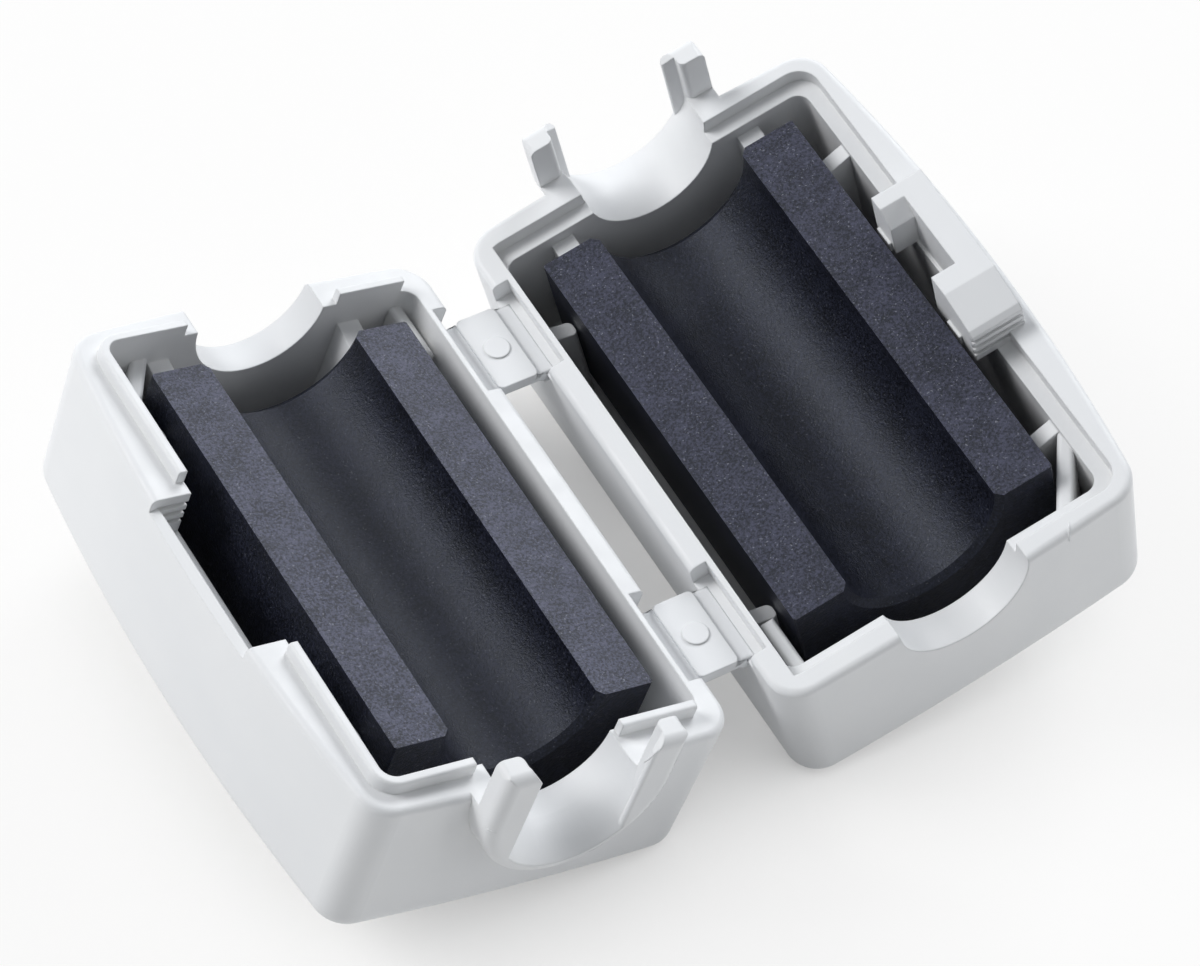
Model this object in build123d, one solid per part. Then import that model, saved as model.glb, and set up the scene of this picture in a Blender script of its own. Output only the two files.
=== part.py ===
from build123d import *
import math
import os

# Each half has its own frame: u runs from hinge to latch side, y along the cable, z out of the mating plane.

# Ferrite half: a block with a half-round groove
core_width = 19.0
core_length = 31.7
core_depth = 9.5
bore_radius = 5.46
core_bevel = 0.12
bore_bevel = 0.45
face_setback = 0.02

# Case half
side_gap = 2.0
end_gap = 2.25
floor_gap = 1.2
floor_wall = 1.4
hinge_wall = 1.6
latch_wall = 1.85
latch_crown = 1.35
end_wall = 2.1
end_crown = 0.55
end_hinge_crown = 0.4
corner_radius = 2.3
cavity_radius = 1.0
rim_drop = 0.1
rim_radius = 0.45
bottom_radius = 1.6
hinge_draft = 0.2
latch_draft = 2.4
end_draft = 1.3

# Cable seats, the collar that runs out of one end and its two claws
seat_radius = 4.7
socket_flare = 1.0
latch_flare = 0.45
collar_wall = 1.9
collar_reach = 2.8
collar_round = 0.85
claw_stand = 1.0
claw_rise = 3.95
claw_end_rise = 3.85
claw_tip_rise = 2.3
claw_width = 1.75
claw_hook = 1.4
claw_hook_depth = 0.9
claw_round = 0.75
claw_dome = 0.5
claw_flank_round = 0.45
claw_edge = 0.25
claw_root = 4.9

# Rim joint: a tongue on the socket half enters a rebate in the latch half
tongue_inset = 0.3
tongue_thickness = 0.6
tongue_rise = 0.95
tongue_round = 0.2
tongue_corner = 1.6
tongue_clearance = 0.15
tongue_hinge_gap = 0.9
tongue_seat_gap = 1.0
tongue_seat_skew = 0.7
tongue_pocket_gap = 1.0
rebate_depth = 1.05

# Latch block and the pocket that takes it
latch_length = 12.0
latch_rise = 2.75
latch_root = 1.2
latch_back = 1.95
latch_reach = 1.8
latch_far_lug = 2.2
latch_near_lug = 4.7
latch_slope = 3.1
latch_slope_drop = 0.85
latch_nose = 0.35
latch_scoop = 1.1
latch_core_gap = 0.45
nub_reach = 0.2
nub_length = 1.5
nub_height = 0.9
pocket_clearance = 0.15
pocket_skin_gap = 0.25
pocket_depth = 3.4
skin_drop = 0.7
skin_slope_share = 0.5
groove_height = 0.34
groove_depth = 0.26
groove_pitch = 0.72
groove_count = 3

# Living hinge: two straps, each with a thin web along both edges
hinge_pitch = 3.6
hinge_setback = 0.29
rest_tilt = 15.28
strap_share = 0.4
strap_length = 6.1
strap_thickness = 0.8
strap_corner = 0.4
web_thickness = 0.3
web_span = 0.35
bead_radius = 0.32
bead_clearance = 0.05
disc_radius = 0.87
disc_rise = 0.1
recess_end_gap = 0.65
recess_rim = 0.4
lug_height = 1.0
lug_lip = 0.06
lug_nose = 0.5
lug_rise = 0.15

# Fingers, fins, corner leaves and ribs that hold the ferrite half in its case
hold_clearance = 0.1
hold_round = 0.4
finger_width = 1.1
finger_drop = 1.4
finger_hinge_drop = 2.6
finger_slope = 0.8
finger_share = 0.4
fin_width = 1.6
fin_drop = 2.0
fin_slope = 0.4
fin_share = 0.375
leaf_width = 1.1
leaf_drop = 1.5
leaf_turn = 57.0
leaf_reach = 4.5
leaf_round = 0.35
guard_gap = 0.7
guard_width = 1.0
guard_run = 4.4
rib_width = 1.6
rib_share = 0.35

overrun = 1.0

core_side = core_width / 2
core_end = core_length / 2
cavity_side = core_side + side_gap
cavity_end = core_end + end_gap
cavity_floor = -core_depth - floor_gap
case_bottom = cavity_floor - floor_wall
hinge_side = cavity_side + hinge_wall
latch_corner = cavity_side + latch_wall
latch_side = latch_corner + latch_crown
end_corner = cavity_end + end_wall
end_side = end_corner + end_crown
rim = -rim_drop
collar_radius = seat_radius + collar_wall
collar_end = end_corner + collar_reach
claw_start = end_corner + claw_stand
tongue_side = cavity_side + tongue_inset
tongue_end = cavity_end + tongue_inset
latch_half = latch_length / 2
latch_inner = core_side + latch_core_gap
latch_mid = latch_inner + latch_reach
latch_outer = latch_mid + latch_back
pocket_half = latch_half + pocket_clearance
web_drop = hinge_pitch / 2
web_u = -hinge_side - hinge_setback
strap_near_edge = core_length * strap_share - strap_length / 2
strap_far_edge = strap_near_edge + strap_length
recess_wall = -cavity_side - recess_rim
recess_floor = lug_rise - web_drop


def block(u0, u1, y0, y1, z0, z1):
    return Pos((u0 + u1) / 2, (y0 + y1) / 2, (z0 + z1) / 2) * Box(u1 - u0, y1 - y0, z1 - z0)


def rod(radius, u, z, y0, y1):
    return Pos(u, (y0 + y1) / 2, z) * Rot(90, 0, 0) * Cylinder(radius, y1 - y0)


def prism(plane, points, amount):
    return extrude(plane * make_face(Polyline(*points, close=True)), amount=amount)


def rounded_block(u0, u1, y0, y1, z0, z1, radius):
    return fillet(block(u0, u1, y0, y1, z0, z1).edges().filter_by(Axis.Z), radius)


def outline(z):
    fall = rim - z
    hinge_u = hinge_side - fall * math.tan(math.radians(hinge_draft))
    latch_inset = fall * math.tan(math.radians(latch_draft))
    end_inset = fall * math.tan(math.radians(end_draft))
    latch_u = latch_corner - latch_inset
    hinge_y = end_corner + end_hinge_crown - end_inset
    latch_y = end_corner - end_inset
    crown = ((latch_u - hinge_u) / 2, end_side - end_inset)
    with BuildSketch(Plane.XY.offset(z)) as plan:
        with BuildLine():
            Line((-hinge_u, -hinge_y), (-hinge_u, hinge_y))
            ThreePointArc((-hinge_u, hinge_y), crown, (latch_u, latch_y))
            ThreePointArc((latch_u, latch_y), (latch_side - latch_inset, 0), (latch_u, -latch_y))
            ThreePointArc((latch_u, -latch_y), (crown[0], -crown[1]), (-hinge_u, -hinge_y))
        make_face()
        fillet(plan.vertices(), corner_radius)
    return plan.sketch


def blank():
    body = loft([outline(case_bottom), outline(rim)], ruled=True)
    body = fillet(body.faces().sort_by(Axis.Z)[0].edges(), bottom_radius)
    return fillet(body.faces().sort_by(Axis.Z)[-1].edges(), rim_radius)


def collar():
    ring = rod(collar_radius, 0, 0, cavity_end, collar_end)
    ring = ring - block(-collar_radius, collar_radius, 0, collar_end + overrun, rim, collar_radius)
    mouth = ring.faces().sort_by(Axis.Y)[-1].edges().filter_by(GeomType.CIRCLE)
    return fillet(mouth, collar_round)


def cable_path(flare):
    straight = rod(seat_radius, 0, 0, -end_side - overrun, collar_end + overrun)
    mouth = seat_radius + flare
    with BuildSketch(Plane.XY) as side:
        with BuildLine():
            Line((0, end_corner), (seat_radius, end_corner))
            TangentArc((seat_radius, end_corner), (mouth, collar_end), tangent=(0, 1))
            Line((mouth, collar_end), (mouth, collar_end + overrun))
            Line((mouth, collar_end + overrun), (0, collar_end + overrun))
            Line((0, collar_end + overrun), (0, end_corner))
        make_face()
    return straight + revolve(side.sketch, axis=Axis.Y)


def claw():
    outer = collar_radius
    root = outer - claw_width
    tip = root - claw_hook
    hook_start = collar_end - claw_hook_depth
    plan = [(root, claw_start), (outer, claw_start), (outer, collar_end), (tip, collar_end)]
    plan += [(root, hook_start)]
    post = prism(Plane.XY.offset(-claw_root), plan, claw_root + claw_rise)
    front = post.edges().filter_by(Axis.Z).group_by(Axis.Y)[0].sort_by(Axis.X)
    post = fillet(front[0], claw_flank_round)
    post = fillet(post.edges().filter_by(Axis.Z).sort_by(Axis.X)[0], claw_edge)
    end_view = [(tip, -claw_root), (outer, -claw_root), (outer, claw_rise)]
    end_view += [(root, claw_rise), (tip, claw_tip_rise)]
    face = prism(Plane.XZ.offset(-collar_end), end_view, collar_end - claw_start)
    face = fillet(face.edges().filter_by(Axis.Y).group_by(Axis.Z)[-1].sort_by(Axis.X)[-1], claw_dome)
    face = fillet(face.edges().filter_by(Axis.Y).group_by(Axis.Z)[-1].sort_by(Axis.X)[0], claw_dome)
    post = post & fillet(face.edges().filter_by(Axis.Y).sort_by(Axis.X)[:2].sort_by(Axis.Z)[-1], claw_edge)
    side = [(claw_start, -claw_root), (collar_end, -claw_root), (collar_end, claw_end_rise)]
    side += [(claw_start, claw_rise)]
    flank = prism(Plane.YZ, side, outer)
    flank = fillet(flank.edges().filter_by(Axis.X).group_by(Axis.Y)[-1].sort_by(Axis.Z)[-1], claw_round)
    post = post & flank
    tube = rod(collar_radius, 0, 0, end_corner, collar_end)
    tube = tube + block(-collar_radius, collar_radius, end_corner, collar_end, 0, claw_rise + overrun)
    tube = fillet(tube.faces().sort_by(Axis.Y)[-1].edges().sort_by(Axis.Z)[:-1], collar_round)
    post = post & tube
    return post + mirror(post, Plane.YZ)


def hinge_recesses(case):
    for side in (-1, 1):
        near, far = strap_near_edge - recess_end_gap, strap_far_edge + recess_end_gap
        y0, y1 = sorted((side * near, side * far))
        case = case - block(-hinge_side - overrun, recess_wall, y0, y1, recess_floor, overrun)
        nose = web_u - lug_lip
        lug = [(nose, recess_floor), (recess_wall, recess_floor), (recess_wall, -web_drop - lug_height),
               (-cavity_side - hinge_wall / 2, -web_drop - lug_height), (nose, -web_drop - lug_nose)]
        y0, y1 = sorted((side * strap_near_edge, side * strap_far_edge))
        case = case + Pos(0, y1, 0) * prism(Plane.XZ, lug, y1 - y0)
        case = case - rod(bead_radius + bead_clearance, web_u, -web_drop, y0, y1)
    return case


def spur(tip, root, width, drop, slope):
    side = [(tip, cavity_floor), (root, cavity_floor), (root, -drop), (tip, -drop - slope)]
    body = Pos(0, width / 2, 0) * prism(Plane.XZ, side, width)
    return fillet(body.edges().filter_by(Axis.Z).sort_by(Axis.X)[:2], hold_round)


def leaf():
    turn = math.radians(leaf_turn)
    away = leaf_width / 2 + hold_clearance
    place = Pos(core_side + away * math.sin(turn), -core_end - away * math.cos(turn), 0)
    strip = block(-leaf_reach, leaf_reach, -leaf_width / 2, leaf_width / 2, cavity_floor, -leaf_drop)
    strip = fillet(strip.edges().filter_by(Axis.X).sort_by(Axis.Z)[-2:], leaf_round)
    strip = place * Rot(0, 0, leaf_turn) * strip
    return strip & block(0, tongue_side, -tongue_end, 0, cavity_floor, 0)


def guard():
    inner = -core_side - guard_gap
    run = guard_run - tongue_end
    strip = block(inner - guard_width, inner, -tongue_end, run, cavity_floor, -leaf_drop)
    return fillet(strip.faces().sort_by(Axis.Z)[-1].edges().sort_by(Axis.Y)[1:], leaf_round)


def holders(fin_ends):
    inner = core_side + hold_clearance
    finger = spur(inner, tongue_side, finger_width, finger_drop, finger_slope)
    hinge_finger = spur(inner, cavity_side, finger_width, finger_hinge_drop, finger_slope)
    fin = spur(core_end + hold_clearance, tongue_end, fin_width, fin_drop, fin_slope)
    parts = [leaf(), guard()]
    for side in (-1, 1):
        place = Pos(0, side * core_length * finger_share, 0)
        parts += [place * finger, mirror(place * hinge_finger, Plane.YZ)]
        for end in fin_ends:
            parts.append(Rot(0, 0, end * 90) * Pos(0, side * core_width * fin_share, 0) * fin)
        u = side * core_width * rib_share
        reach = core_length * rib_share
        parts.append(block(u - rib_width / 2, u + rib_width / 2, -reach, reach, cavity_floor,
                           -core_depth - face_setback))
    return parts


def half_case(margin, fin_ends, flare):
    case = blank() + collar()
    side = cavity_side + margin
    end = cavity_end + margin
    case = case - rounded_block(-cavity_side, side, -end, end, cavity_floor, overrun, cavity_radius)
    case = case - cable_path(flare)
    case = case + claw()
    case = hinge_recesses(case)
    for piece in holders(fin_ends):
        case = case + piece
    return case


def tongue():
    base = rim - rim_radius
    top = rim + tongue_rise
    outer_u = tongue_side + tongue_thickness
    outer_y = tongue_end + tongue_thickness
    ring = rounded_block(-outer_u, outer_u, -outer_y, outer_y, base, top, tongue_corner)
    low = base - overrun
    high = top + overrun
    inner_corner = tongue_corner - tongue_thickness
    ring = ring - rounded_block(-tongue_side, tongue_side, -tongue_end, tongue_end, low, high, inner_corner)
    ring = fillet(ring.faces().sort_by(Axis.Z)[-1].outer_wire().edges(), tongue_round)
    seat = seat_radius + tongue_seat_gap
    gap = pocket_half + tongue_pocket_gap
    wide = outer_u + overrun
    long = outer_y + overrun
    ring = ring - block(-wide, tongue_hinge_gap - cavity_side, -long, long, low, high)
    ring = ring - block(-seat, seat, -long, 0, low, high)
    ring = ring - block(tongue_seat_skew - seat, seat, 0, long, low, high)
    return ring - block(0, wide, -gap, gap, low, high)


def grooves(u0, u1, y0, y1, top):
    return [block(u0, u1, y0, y1, top - step * groove_pitch - groove_height, top - step * groove_pitch)
            for step in range(1, groove_count + 1)]


def pocket():
    skin = latch_outer + pocket_skin_gap
    inner = core_side + hold_clearance
    hollow = block(inner, skin, -pocket_half, pocket_half, rim - pocket_depth, tongue_rise + overrun)
    edge = latch_side + overrun
    lip = rim - skin_drop
    brow = [(inner, lip), (skin, lip), (edge, lip - skin_slope_share * (edge - skin)), (edge, overrun)]
    brow += [(inner, overrun)]
    hollow = hollow + Pos(0, pocket_half, 0) * prism(Plane.XZ, brow, pocket_half * 2)
    for cut in grooves(inner, skin, -pocket_half - groove_depth, -pocket_half, rim):
        hollow = hollow + cut
    return hollow


def latch():
    side = [(-latch_half, -latch_root), (latch_half, -latch_root), (latch_half, latch_rise),
            (latch_slope - latch_half, latch_rise), (latch_nose - latch_half, latch_rise - latch_slope_drop),
            (-latch_half, latch_rise - latch_slope_drop - latch_nose)]
    body = Pos(latch_inner, 0, 0) * prism(Plane.YZ, side, latch_outer - latch_inner)
    inside = latch_inner - overrun
    outside = latch_outer + overrun
    y0 = latch_near_lug - latch_half
    y1 = latch_half - latch_far_lug
    body = body - block(inside, latch_mid, y0, y1, -latch_root - overrun, latch_rise + overrun)
    scoop = [(y1, latch_rise), (y1 + latch_scoop, latch_rise), (y1, latch_rise - latch_scoop)]
    body = body - Pos(latch_inner, 0, 0) * prism(Plane.YZ, scoop, latch_mid - latch_inner)
    near = -latch_half - overrun
    for cut in grooves(inside, outside, near, groove_depth - latch_half, latch_rise - latch_slope_drop):
        body = body - cut
    for y in (latch_half - latch_far_lug / 2, latch_near_lug / 2 - latch_half):
        body = body + block(latch_inner - nub_reach, latch_inner, y - nub_length / 2, y + nub_length / 2,
                            -latch_root, nub_height - latch_root)
    return body


def socket_case():
    return half_case(tongue_inset, (-1,), socket_flare) + tongue() - pocket()


def latch_case():
    outer_u = tongue_side + tongue_thickness + tongue_clearance
    outer_y = tongue_end + tongue_thickness + tongue_clearance
    ledge = rim - rebate_depth
    rebate = rounded_block(-outer_u, outer_u, -outer_y, outer_y, ledge, overrun, tongue_corner)
    rebate = rebate & block(-cavity_side, outer_u, -outer_y, outer_y, ledge, overrun)
    return half_case(0, (1,), latch_flare) - rebate + latch()


def core():
    top = -face_setback
    body = block(-core_side, core_side, -core_end, core_end, top - core_depth, top)
    body = chamfer(body.edges().filter_by(Axis.Z), core_bevel)
    body = body - rod(bore_radius, 0, 0, -core_end - overrun, core_end + overrun)
    return chamfer(body.edges().filter_by(GeomType.CIRCLE), bore_bevel)


def strap(side):
    y0, y1 = sorted((side * strap_near_edge, side * strap_far_edge))
    low = -web_thickness / 2
    inner = web_drop - web_span
    plate = rounded_block(-inner, inner, y0, y1, low, low + strap_thickness, strap_corner)
    plate = plate + block(-web_drop, web_drop, y0, y1, low, -low)
    for u in (-web_drop, web_drop):
        plate = plate + rod(bead_radius, u, 0, y0, y1)
    crown = Pos(0, (y0 + y1) / 2, low + strap_thickness) * Cylinder(disc_radius, disc_rise * 2)
    return plate + crown


tilt = math.radians(rest_tilt)
centre_x = web_drop - web_u * math.cos(tilt) - web_drop * math.sin(tilt)
strap_z = web_u * math.sin(tilt) - web_drop * math.cos(tilt)
latch_place = Pos(centre_x, 0, 0) * Rot(0, -rest_tilt, 0)
socket_place = Pos(-centre_x, 0, 0) * Rot(0, rest_tilt, 0) * Rot(0, 0, 180)

nodes = {
    "socket_shell": socket_place * socket_case(),
    "latch_shell": latch_place * latch_case(),
    "socket_core": socket_place * core(),
    "latch_core": latch_place * core(),
    "hinge_strap_far": Pos(0, 0, strap_z) * strap(1),
    "hinge_strap_near": Pos(0, 0, strap_z) * strap(-1),
}

boxes = [shape.bounding_box() for shape in nodes.values()]
shift = Pos(
    -(min(box.min.X for box in boxes) + max(box.max.X for box in boxes)) / 2,
    -(min(box.min.Y for box in boxes) + max(box.max.Y for box in boxes)) / 2,
    -min(box.min.Z for box in boxes),
)

os.makedirs("parts", exist_ok=True)
for name, shape in nodes.items():
    placed = shift * shape
    export_step(placed, f"parts/{name}.step")
    print(name, placed.is_valid, len(placed.solids()), round(placed.volume), placed.bounding_box())
print("frame shift", shift.position)
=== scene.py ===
import math
import bpy
import numpy as np
from mathutils import Matrix


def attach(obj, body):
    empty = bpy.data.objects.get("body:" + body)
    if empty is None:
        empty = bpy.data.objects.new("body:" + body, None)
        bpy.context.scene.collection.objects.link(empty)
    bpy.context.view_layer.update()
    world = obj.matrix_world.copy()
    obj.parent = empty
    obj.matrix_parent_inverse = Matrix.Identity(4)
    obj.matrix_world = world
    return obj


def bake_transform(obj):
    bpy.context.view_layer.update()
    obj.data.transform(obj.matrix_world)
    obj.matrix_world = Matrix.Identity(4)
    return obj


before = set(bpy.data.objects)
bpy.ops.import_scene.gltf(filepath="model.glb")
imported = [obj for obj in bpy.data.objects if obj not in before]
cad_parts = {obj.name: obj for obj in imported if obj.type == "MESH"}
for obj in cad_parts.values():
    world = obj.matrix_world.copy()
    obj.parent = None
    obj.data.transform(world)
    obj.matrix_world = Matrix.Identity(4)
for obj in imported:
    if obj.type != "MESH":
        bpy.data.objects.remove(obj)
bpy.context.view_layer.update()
print("open clip loaded,", len(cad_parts), "solids")

mm = 0.001

# how the two halves lie: each leans inwards by tilt about the cable direction
halves = {"tilt": math.radians(15.28), "centreX": 14.2426, "centreZ": 14.7532}


# a half's own (across, along, out of the mating face) in mm to the clip's frame in metres:
# a turn by the tilt about the cable direction, then the half's place
def latchHalf(points):
    across, along, out = np.moveaxis(np.asarray(points, float), -1, 0)
    c, s = math.cos(halves["tilt"]), math.sin(halves["tilt"])
    x = halves["centreX"] + across * c - out * s
    z = halves["centreZ"] + across * s + out * c
    return np.stack((x, along, z), -1) * mm


def socketHalf(points):
    return latchHalf(points) * (-1, -1, 1)  # the same half, half a turn round the upright


# one node with its settings and socket values; a value that is a socket is linked
def put(tree, kind, values=None, **settings):
    node = tree.nodes.new("ShaderNode" + kind)
    for name, value in settings.items():
        setattr(node, name, value)
    for key, value in (values or {}).items():
        if isinstance(value, bpy.types.NodeSocket):
            tree.links.new(value, node.inputs[key])
        else:
            node.inputs[key].default_value = value
    return node


def newFinish(name):
    material = bpy.data.materials.new(name)
    material.use_nodes = True
    tree = material.node_tree
    tree.nodes.clear()
    surface = put(tree, "BsdfPrincipled")
    put(tree, "OutputMaterial", {"Surface": surface.outputs["BSDF"]})
    return material, tree, surface


# eases from toLow to toHigh as a socket's value goes from low to high
def ramp(tree, socket, low, high, toLow=0.0, toHigh=1.0):
    return put(tree, "MapRange", {"Value": socket, "From Min": low, "From Max": high, "To Min": toLow,
                                  "To Max": toHigh}, interpolation_type="SMOOTHSTEP").outputs["Result"]


def blendColour(tree, factor, first, second, how="MIX"):
    node = put(tree, "Mix", data_type="RGBA", blend_type=how)
    for index, value in ((0, factor), (6, first), (7, second)):
        if isinstance(value, bpy.types.NodeSocket):
            tree.links.new(value, node.inputs[index])
        else:
            node.inputs[index].default_value = value
    return node.outputs[2]


def sums(tree, how, first, second):
    return put(tree, "Math", {0: first, 1: second}, operation=how).outputs[0]


# camera and stage

shot = {
    "place": (-124.5547, -176.6532, 295.7068),  # mm
    "right": (0.8647242, -0.4972279, 0.070827),
    "up": (0.3612023, 0.7136566, 0.6001893),
    "back": (-0.348977, -0.4934153, 0.796716),
    "lens": 169.36,
    "sensorWidth": 36,
    "clip": (0.01, 20),  # m
}
cameraData = bpy.data.cameras.new("photoCamera")
cameraData.sensor_fit = "HORIZONTAL"
cameraData.sensor_width = shot["sensorWidth"]
cameraData.lens = shot["lens"]
cameraData.clip_start, cameraData.clip_end = shot["clip"]
camera = bpy.data.objects.new("photoCamera", cameraData)
turn = np.eye(4)
turn[:3, :3] = np.column_stack((shot["right"], shot["up"], shot["back"]))
turn[:3, 3] = np.array(shot["place"]) * mm
camera.matrix_world = Matrix(turn.tolist())
bpy.context.scene.collection.objects.link(camera)
bpy.context.scene.camera = camera
bpy.context.scene.view_settings.view_transform = "Standard"

studio = {
    "ambient": (0.94, 0.97, 1.0, 1.0),
    "ambientLevel": 0.285,
    "key": {"place": (-0.49, 0.42, 0.57), "size": 0.40, "power": 4.95, "colour": (1.0, 1.0, 1.0)},
    "sheen": {"place": (0.52, 0.36, 0.38), "size": 0.34, "power": 2.8, "colour": (0.96, 0.98, 1.0)},
    "fill": {"place": (0.38, -0.34, 0.16), "size": 0.30, "power": 0.45, "colour": (1.0, 1.0, 1.0)},
    "floorReach": 3.0,  # m each way
    "floorDepth": 0.00002,  # m below the clip, so the two never share a plane
    "paperTones": ((0.87, 0.86, 0.84, 1), (0.90, 0.89, 0.875, 1)),
    "fibreScale": 900.0,
    "floorNear": 0.02,  # m over which the clip hides the sky from the paper
    "floorOpen": (0.15, 0.8),  # open sky over the paper, from hidden to free
    "floorUnder": 0.3,  # how white the paper looks under the clip
    "floorShade": 0.16,  # how much of the open floor's look is its own shaded paper
}


# a square soft lamp that looks at the clip
def softLamp(name, lamp):
    data = bpy.data.lights.new(name, "AREA")
    data.shape = "SQUARE"
    data.size, data.energy, data.color = lamp["size"], lamp["power"], lamp["colour"]
    thing = bpy.data.objects.new(name, data)
    back = np.array(lamp["place"]) / np.linalg.norm(lamp["place"])
    side = np.cross((0, 0, 1), back)
    side /= np.linalg.norm(side)
    lay = np.eye(4)
    lay[:3, :3] = np.column_stack((side, np.cross(back, side), back))
    lay[:3, 3] = lamp["place"]
    thing.matrix_world = Matrix(lay.tolist())
    bpy.context.scene.collection.objects.link(thing)


softLamp("keyLamp", studio["key"])
softLamp("sheenLamp", studio["sheen"])
softLamp("fillLamp", studio["fill"])


# 1 for rays from the eye, from gloss or through clear things
def seenRays(tree):
    path = put(tree, "LightPath")
    seen = sums(tree, "MAXIMUM", path.outputs["Is Camera Ray"], path.outputs["Is Glossy Ray"])
    return sums(tree, "MAXIMUM", seen, path.outputs["Is Transmission Ray"])


world = bpy.data.worlds.new("studioSurround")
bpy.context.scene.world = world
world.use_nodes = True
sky = world.node_tree
sky.nodes.clear()
soft = put(sky, "Background", {"Color": studio["ambient"], "Strength": studio["ambientLevel"]})
white = put(sky, "Background", {"Color": (1, 1, 1, 1), "Strength": 1.0})
bothSkies = put(sky, "MixShader", {0: seenRays(sky), 1: soft.outputs[0], 2: white.outputs[0]})
put(sky, "OutputWorld", {"Surface": bothSkies.outputs[0]})


# floor: one flat sheet, x and y from a 2 x 2 grid
def floorSheet():
    reach = np.array((-1, 1)) * studio["floorReach"]
    gx, gy = np.meshgrid(reach, reach, indexing="ij")
    points = np.stack((gx, gy, np.full_like(gx, -studio["floorDepth"])), -1).reshape(-1, 3)
    mesh = bpy.data.meshes.new("studioFloor")
    mesh.from_pydata(points.tolist(), [], [(0, 2, 3, 1)])
    sheet = bpy.data.objects.new("studioFloor", mesh)
    bpy.context.scene.collection.objects.link(sheet)
    paper = bpy.data.materials.new("whitePaper")
    paper.use_nodes = True
    tree = paper.node_tree
    tree.nodes.clear()
    place = put(tree, "TexCoord").outputs["Object"]
    fibre = put(tree, "TexNoise", {"Vector": place, "Scale": studio["fibreScale"], "Detail": 3.0})
    tone = blendColour(tree, fibre.outputs["Fac"], *studio["paperTones"])
    shaded = put(tree, "BsdfDiffuse", {"Color": tone})
    lit = put(tree, "Emission", {"Color": (1, 1, 1, 1), "Strength": 1.0})
    # close under the clip the paper shows its own shade
    under = put(tree, "AmbientOcclusion", {"Distance": studio["floorNear"]}, samples=12).outputs["AO"]
    bare = ramp(tree, under, *studio["floorOpen"], studio["floorUnder"], 1.0 - studio["floorShade"])
    share = sums(tree, "MULTIPLY", seenRays(tree), bare)
    both = put(tree, "MixShader", {0: share, 1: shaded.outputs[0], 2: lit.outputs[0]})
    put(tree, "OutputMaterial", {"Surface": both.outputs[0]})
    mesh.materials.append(paper)


floorSheet()
print("camera, lamps and floor set")

# moulded white polyamide of the case and the hinge straps

whiteCase = {
    "paleTone": (0.795, 0.808, 0.828, 1),
    "brightTone": (0.825, 0.836, 0.852, 1),
    "creaseShadeTone": (0.90, 0.893, 0.878, 1),
    "roughLow": 0.42,
    "roughHigh": 0.54,
    "ior": 1.42,
    "broadScale": 55.0,
    "flowScale": (260.0, 38.0, 150.0),  # melt flow is drawn out along the cable direction
    "broadShare": 0.6,
    "creaseReach": 5,  # mm
    "dustScale": 330.0,
    "dustSize": (0.03, 0.05),
    "dustFrom": 0.967,  # one cell in thirty has a speck
    "dustShare": 0.45,
    "dustTone": (0.36, 0.34, 0.31, 1),
    "patchScale": 420.0,
    "waveScale": 240.0,
    "waveHeight": 0.05,  # mm
    "grainScale": 5200.0,
    "grainHeight": 0.01,  # mm
    "bumpStrength": 0.2,
    "edge": 0.17,  # mm, how far moulded edges are rounded
    "paintedShadeSpot": (-2.3, 21.9, -4.2),  # mm in the socket half, middle of a painted shade darkening the bowl of its collar
    "paintedShadeReach": (0.4, 3.4),
    "paintedShadeTone": (0.74, 0.745, 0.75, 1),
}


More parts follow.
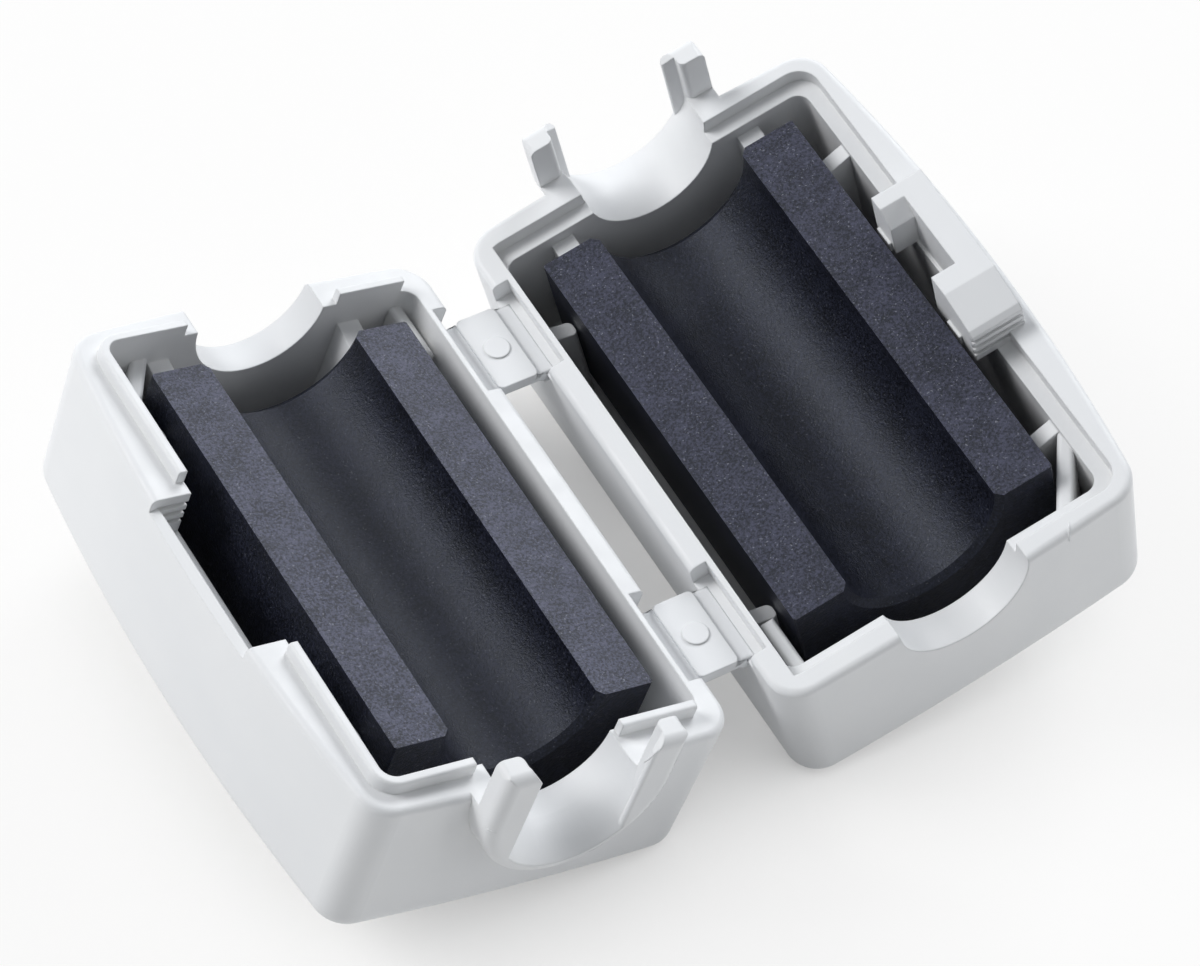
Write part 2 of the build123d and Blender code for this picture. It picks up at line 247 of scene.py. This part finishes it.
def mouldedWhite(name):
    material, tree, surface = newFinish(name)
    place = put(tree, "TexCoord").outputs["Object"]
    broad = put(tree, "TexNoise", {"Vector": place, "Scale": whiteCase["broadScale"], "Detail": 3.0,
                                   "Roughness": 0.55})
    drawn = put(tree, "Mapping", {"Vector": place, "Scale": whiteCase["flowScale"]})
    flow = put(tree, "TexNoise", {"Vector": drawn.outputs[0], "Scale": 1.0, "Detail": 4.0})
    tone = sums(tree, "ADD", sums(tree, "MULTIPLY", broad.outputs["Fac"], whiteCase["broadShare"]),
                sums(tree, "MULTIPLY", flow.outputs["Fac"], 1.0 - whiteCase["broadShare"]))
    colour = blendColour(tree, ramp(tree, tone, 0.35, 0.65), whiteCase["paleTone"], whiteCase["brightTone"])
    # painted shade: creases and recesses get a darker, warmer colour from the ambient occlusion
    reach = whiteCase["creaseReach"] * mm
    crease = put(tree, "AmbientOcclusion", {"Distance": reach}, only_local=True, samples=8)
    shade = ramp(tree, crease.outputs["AO"], 0.25, 0.9)
    warmShade = blendColour(tree, shade, whiteCase["creaseShadeTone"], (1, 1, 1, 1))
    colour = blendColour(tree, 1.0, colour, warmShade, "MULTIPLY")
    # painted shade: the bowl of the socket half's near collar is darkened round one spot
    shadeMiddle = tuple(socketHalf(whiteCase["paintedShadeSpot"]))
    away = put(tree, "VectorMath", {0: place, 1: shadeMiddle}, operation="DISTANCE").outputs["Value"]
    outside = ramp(tree, away, *(reach * mm for reach in whiteCase["paintedShadeReach"]))
    bowlShade = blendColour(tree, outside, whiteCase["paintedShadeTone"], (1, 1, 1, 1))
    colour = blendColour(tree, 1.0, colour, bowlShade, "MULTIPLY")
    # a few dust specks
    cells = put(tree, "TexVoronoi", {"Vector": place, "Scale": whiteCase["dustScale"]})
    chosen = put(tree, "SeparateColor", {"Color": cells.outputs["Color"]}).outputs["Red"]
    dot = sums(tree, "MULTIPLY", ramp(tree, cells.outputs["Distance"], *whiteCase["dustSize"], 1.0, 0.0),
               sums(tree, "GREATER_THAN", chosen, whiteCase["dustFrom"]))
    speck = sums(tree, "MULTIPLY", dot, whiteCase["dustShare"])
    colour = blendColour(tree, speck, colour, whiteCase["dustTone"])
    tree.links.new(colour, surface.inputs["Base Color"])
    patch = put(tree, "TexNoise", {"Vector": place, "Scale": whiteCase["patchScale"], "Detail": 2.0})
    rough = ramp(tree, patch.outputs["Fac"], 0.3, 0.7, whiteCase["roughLow"], whiteCase["roughHigh"])
    tree.links.new(rough, surface.inputs["Roughness"])
    # fine spark-eroded mould grain over a slow waviness
    grain = put(tree, "TexNoise", {"Vector": place, "Scale": whiteCase["grainScale"], "Detail": 2.0})
    wave = put(tree, "TexNoise", {"Vector": place, "Scale": whiteCase["waveScale"], "Detail": 1.0})
    edge = put(tree, "Bevel", {"Radius": whiteCase["edge"] * mm}, samples=6)
    slow = put(tree, "Bump", {"Height": wave.outputs["Fac"], "Strength": whiteCase["bumpStrength"],
                              "Distance": whiteCase["waveHeight"] * mm, "Normal": edge.outputs[0]})
    fine = put(tree, "Bump", {"Height": grain.outputs["Fac"], "Strength": whiteCase["bumpStrength"],
                              "Distance": whiteCase["grainHeight"] * mm, "Normal": slow.outputs[0]})
    tree.links.new(fine.outputs[0], surface.inputs["Normal"])
    surface.inputs["IOR"].default_value = whiteCase["ior"]
    return material


casePlastic = mouldedWhite("mouldedWhiteCase")
strapPlastic = mouldedWhite("mouldedWhiteStrap")

# sintered ferrite: ground on the mating faces, as fired elsewhere

ferrite = {
    "groundTone": (0.003, 0.0035, 0.007, 1),
    # the socket half's pale tone is lighter than the latch half's: painted sheen for the brighter
    # reflection on its ground faces, as both halves are the same ferrite
    "groundPaleAndSheen": {"latch": (0.051, 0.053, 0.085, 1), "socket": (0.082, 0.085, 0.130, 1)},
    "firedTone": (0.0012, 0.0014, 0.003, 1),
    "firedPale": (0.016, 0.018, 0.031, 1),
    "glintTone": (0.24, 0.25, 0.29, 1),
    "tint": (0.80, 0.86, 1.0, 1),
    "faceDepth": (-0.075, -0.045),  # mm below the mating plane where grinding ends
    "chipScale": 3200.0,
    "chipDepth": 0.05,  # mm
    "grainScale": 5200.0,  # grains about a fifth of a millimetre across
    "cloudScale": 480.0,  # cloudy over a few millimetres
    "grainShare": 0.8,
    "speckSpan": (0.40, 0.62),
    "facetScale": 6400.0,
    "facetSpan": (0.66, 0.76),  # only the highest points of the facet noise
    "facetShare": (0.25, 0.7),  # as fired, ground
    "wheelScale": (260.0, 3600.0, 260.0),  # wheel marks run across the ground faces
    "wheelShare": 0.9,
    "rough": (0.37, 0.38),  # as fired, ground
    "roughSpread": 0.3,
    "pitStrength": 0.8,
    "pitDepth": 0.07,  # mm
    "ior": 1.36,
}


def pressedFerrite(name, litHalf, lean, middle):
    material, tree, surface = newFinish(name)
    place = put(tree, "TexCoord").outputs["Object"]
    fromMiddle = put(tree, "VectorMath", {0: place, 1: tuple(middle)}, operation="SUBTRACT").outputs[0]
    height = put(tree, "VectorMath", {0: fromMiddle, 1: lean}, operation="DOT_PRODUCT").outputs["Value"]
    chip = put(tree, "TexNoise", {"Vector": place, "Scale": ferrite["chipScale"], "Detail": 3.0,
                                  "Roughness": 0.7})
    chipped = sums(tree, "SUBTRACT", chip.outputs["Fac"], 0.5)
    ragged = sums(tree, "ADD", height, sums(tree, "MULTIPLY", chipped, ferrite["chipDepth"] * mm))
    low, high = (depth * mm for depth in ferrite["faceDepth"])
    ground = ramp(tree, ragged, low, high)
    grain = put(tree, "TexNoise", {"Vector": place, "Scale": ferrite["grainScale"], "Detail": 3.0,
                                   "Roughness": 0.8})
    cloud = put(tree, "TexNoise", {"Vector": place, "Scale": ferrite["cloudScale"], "Detail": 3.0})
    mottled = sums(tree, "ADD", sums(tree, "MULTIPLY", grain.outputs["Fac"], ferrite["grainShare"]),
                   sums(tree, "MULTIPLY", cloud.outputs["Fac"], 1.0 - ferrite["grainShare"]))
    speck = ramp(tree, mottled, *ferrite["speckSpan"])
    groundColour = blendColour(tree, speck, ferrite["groundTone"], ferrite["groundPaleAndSheen"][litHalf])
    firedColour = blendColour(tree, speck, ferrite["firedTone"], ferrite["firedPale"])
    colour = blendColour(tree, ground, firedColour, groundColour)
    # painted glints: bright specks on the highest points of the facet noise, for light caught by crystal
    # facets, more on the ground faces
    facets = put(tree, "TexNoise", {"Vector": place, "Scale": ferrite["facetScale"], "Detail": 1.0})
    facet = ramp(tree, facets.outputs["Fac"], *ferrite["facetSpan"])
    share = sums(tree, "MULTIPLY", facet, ramp(tree, ground, 0.0, 1.0, *ferrite["facetShare"]))
    colour = blendColour(tree, share, colour, ferrite["glintTone"])
    tree.links.new(colour, surface.inputs["Base Color"])
    wheel = put(tree, "Mapping", {"Vector": place, "Scale": ferrite["wheelScale"]})
    marks = put(tree, "TexNoise", {"Vector": wheel.outputs[0], "Scale": 1.0, "Detail": 3.0})
    uneven = sums(tree, "SUBTRACT", grain.outputs["Fac"], 0.5)
    uneven = sums(tree, "MULTIPLY", uneven, ferrite["roughSpread"])
    rough = sums(tree, "ADD", ramp(tree, ground, 0.0, 1.0, *ferrite["rough"]), uneven)
    tree.links.new(rough, surface.inputs["Roughness"])
    worn = sums(tree, "MULTIPLY", marks.outputs["Fac"], ground)
    deep = sums(tree, "ADD", grain.outputs["Fac"], sums(tree, "MULTIPLY", worn, ferrite["wheelShare"]))
    pits = put(tree, "Bump", {"Height": deep, "Strength": ferrite["pitStrength"],
                              "Distance": ferrite["pitDepth"] * mm})
    tree.links.new(pits.outputs[0], surface.inputs["Normal"])
    surface.inputs["IOR"].default_value = ferrite["ior"]
    surface.inputs["Specular Tint"].default_value = ferrite["tint"]
    return material


c, s = math.cos(halves["tilt"]), math.sin(halves["tilt"])
middle = np.array((halves["centreX"], 0, halves["centreZ"])) * mm
latchFerrite = pressedFerrite("pressedFerriteLatch", "latch", (-s, 0, c), middle)
socketFerrite = pressedFerrite("pressedFerriteSocket", "socket", (s, 0, c), middle * (-1, 1, 1))

for node, finish in (("socket_shell", casePlastic), ("latch_shell", casePlastic),
                     ("hinge_strap_near", strapPlastic), ("hinge_strap_far", strapPlastic),
                     ("socket_core", socketFerrite), ("latch_core", latchFerrite)):
    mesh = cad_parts[node].data
    mesh.materials.clear()
    mesh.materials.append(finish)
print("case, straps and ferrite halves finished")


# a closed ring profile carried along a path: rings is (steps, points, 3), both ends shut by a fan
def sweptPiece(name, rings, finish):
    steps, around = rings.shape[:2]
    points = np.concatenate((rings.reshape(-1, 3), rings[:1].mean(1), rings[-1:].mean(1)))
    i, j = np.meshgrid(np.arange(steps - 1), np.arange(around), indexing="ij")
    k = (j + 1) % around
    walls = np.stack((i * around + j, i * around + k, (i + 1) * around + k, (i + 1) * around + j), -1)
    walls = walls.reshape(-1, 4)
    j = np.arange(around)
    k = (j + 1) % around
    first = np.stack((k, j, np.full_like(j, steps * around)), -1)
    last = np.stack((j, k, np.full_like(j, around)), -1) + (steps - 1) * around
    last[:, 2] = steps * around + 1
    mesh = bpy.data.meshes.new(name)
    mesh.from_pydata(points.tolist(), [], walls.tolist() + first.tolist() + last.tolist())
    mesh.polygons.foreach_set("use_smooth", np.full(len(mesh.polygons), True))
    mesh.materials.append(finish)
    mesh.update()
    piece = bpy.data.objects.new(name, mesh)
    bpy.context.scene.collection.objects.link(piece)
    return piece


# thin skins of the two living hinges, one each side of each strap

hingeSkin = {
    "x": (1.40, 1.47, 1.56, 1.68, 1.80, 1.95, 2.10, 2.28, 2.46, 2.60),  # mm from the clip's middle line
    "z": (9.97, 9.93, 9.875, 9.85, 9.845, 9.845, 9.848, 9.855, 9.868, 9.885),  # top of the skin
    "thickness": 0.09,
    "middleY": 12.68,
    "length": 5.96,
    "bendFrom": 1.60,
    "bendTo": 2.02,
    "axisZ": 9.488,  # height of the bend's axis
    "acrossSteps": 33,
    "alongSteps": 25,
}


# the skin's upper line across the hinge and its lower line back again, carried straight along the cable
def livingHinge(name, side, middleY):
    fine = np.linspace(hingeSkin["x"][0], hingeSkin["x"][-1], hingeSkin["acrossSteps"])
    top = np.interp(fine, hingeSkin["x"], hingeSkin["z"])
    loop = np.concatenate((np.stack((fine, top), -1),
                           np.stack((fine, top - hingeSkin["thickness"]), -1)[::-1]))
    along = middleY + np.linspace(-0.5, 0.5, hingeSkin["alongSteps"]) * hingeSkin["length"]
    if side > 0:
        along = along[::-1]
    rings = np.empty((len(along), len(loop), 3))
    rings[..., 0] = loop[None, :, 0] * side
    rings[..., 1] = along[:, None]
    rings[..., 2] = loop[None, :, 1]
    piece = sweptPiece(name, rings * mm, strapPlastic)
    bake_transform(piece)


for end, y in (("near", -hingeSkin["middleY"]), ("far", hingeSkin["middleY"])):
    livingHinge("hinge_skin_socket_" + end, -1, y)
    livingHinge("hinge_skin_latch_" + end, 1, y)
print("living hinge skins made")

# flash left by the mould along the near collar, small lines on its claws and a seam on the latch half's rim

flash = {
    "collarRadius": 6.6,  # mm, and the round on the collar's end
    "collarRound": 0.85,
    "collarEnd": 23.0,
    "ridge": 0.125,  # half thickness of the ridge
    "weld": 0.07,
    "sink": 0.25,  # share of the ridge's radius by which its middle lies in the wall
    "clawFrom": 2.6,  # mm up the claw
    "sweep": 96,  # degrees round the collar
    "clawSteps": 40,
    "collarSteps": 110,
    "lean": (39, 7, 5, 3),  # degrees round the collar's end: middle, then three waves
    "around": 8,
    "weldSteps": 24,
    "clawWeld": ((6.53, 22.37, -0.84), (6.43, 22.57, -0.86), (6.29, 22.74, -0.85), (6.12, 22.85, -0.82),
                 (5.93, 22.91, -0.84)),
    "clawBurr": ((-3.52, 22.90, 2.36), (-3.80, 22.91, 2.70), (-4.05, 22.89, 2.97), (-4.30, 22.88, 3.24),
                 (-4.52, 22.78, 3.44)),
    "rimSeam": ((8.27, -19.82, -0.10), (8.00, -20.10, -0.10), (7.85, -20.33, -0.15), (7.76, -20.48, -0.32),
                (7.71, -20.56, -0.58), (7.68, -20.56, -1.00)),
}


# a round bead carried along a path: points on a circle about each path point, in the plane of the two
# directions square to the path, its radius given for each path point
def ridgePiece(name, path, radius, toClip, body):
    along = np.gradient(path, axis=0)
    along /= np.linalg.norm(along, axis=1)[:, None]
    side = np.cross(along, (0.31, 0.83, 0.46))
    side /= np.linalg.norm(side, axis=1)[:, None]
    over = np.cross(along, side)
    angle = np.arange(flash["around"]) * math.tau / flash["around"]
    wide = radius[:, None, None]
    rings = path[:, None] + wide * (np.cos(angle)[None, :, None] * side[:, None]
                                    + np.sin(angle)[None, :, None] * over[:, None])
    piece = sweptPiece(name, toClip(rings), casePlastic)
    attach(piece, body)


# down the claw's outer edge and round the collar: straight in z, then an arc about the bore, both on the
# rounded end
def collarFlash():
    steps = flash["clawSteps"]
    drop = np.linspace(flash["clawFrom"], 0.0, steps)
    turn = np.linspace(0.0, math.radians(flash["sweep"]), flash["collarSteps"])
    wander = np.linspace(0, 1, steps + flash["collarSteps"])
    middle, first, second, third = flash["lean"]
    lean = np.radians(middle + first * np.sin(wander * 19) + second * np.sin(wander * 53 + 1)
                      + third * np.sin(wander * 131 + 2))
    reach = flash["collarRadius"] - flash["collarRound"] + flash["collarRound"] * np.cos(lean)
    along = flash["collarEnd"] - flash["collarRound"] + flash["collarRound"] * np.sin(lean)
    u = -reach * np.concatenate((np.ones(steps), np.cos(turn)))
    z = np.concatenate((drop, -reach[steps:] * np.sin(turn)))
    path = np.stack((u, along, z), -1)
    ragged = 0.75 + 0.35 * np.sin(wander * 41) * np.sin(wander * 97 + 1)
    fade = np.clip(np.minimum(wander * 14, (1 - wander) * 9), 0.15, 1)
    outward = np.stack((u, np.zeros_like(u), z), -1) / flash["collarRadius"]
    ridge = flash["ridge"] * ragged * fade
    path -= outward * (ridge * flash["sink"])[:, None]
    ridgePiece("collar_flash", path, ridge, socketHalf, "socket_half")


# a bead through a few points, read between them by their distance along the line
def weldLine(name, points, radius, toClip, body):
    points = np.array(points)
    run = np.concatenate(((0,), np.cumsum(np.linalg.norm(np.diff(points, axis=0), axis=1))))
    steps = np.arange(flash["weldSteps"])
    even = np.linspace(0, run[-1], len(steps))
    path = np.stack([np.interp(even, run, points[:, axis]) for axis in range(3)], -1)
    fade = np.clip(np.minimum(steps, steps[::-1]) / 4, 0.2, 1)
    ridgePiece(name, path, radius * fade, toClip, body)


collarFlash()
weldLine("claw_weld", flash["clawWeld"], flash["weld"], socketHalf, "socket_half")
weldLine("claw_burr", flash["clawBurr"], flash["weld"], socketHalf, "socket_half")
weldLine("rim_seam", flash["rimSeam"], flash["weld"], latchHalf, "latch_half")
print("flash and weld lines made")
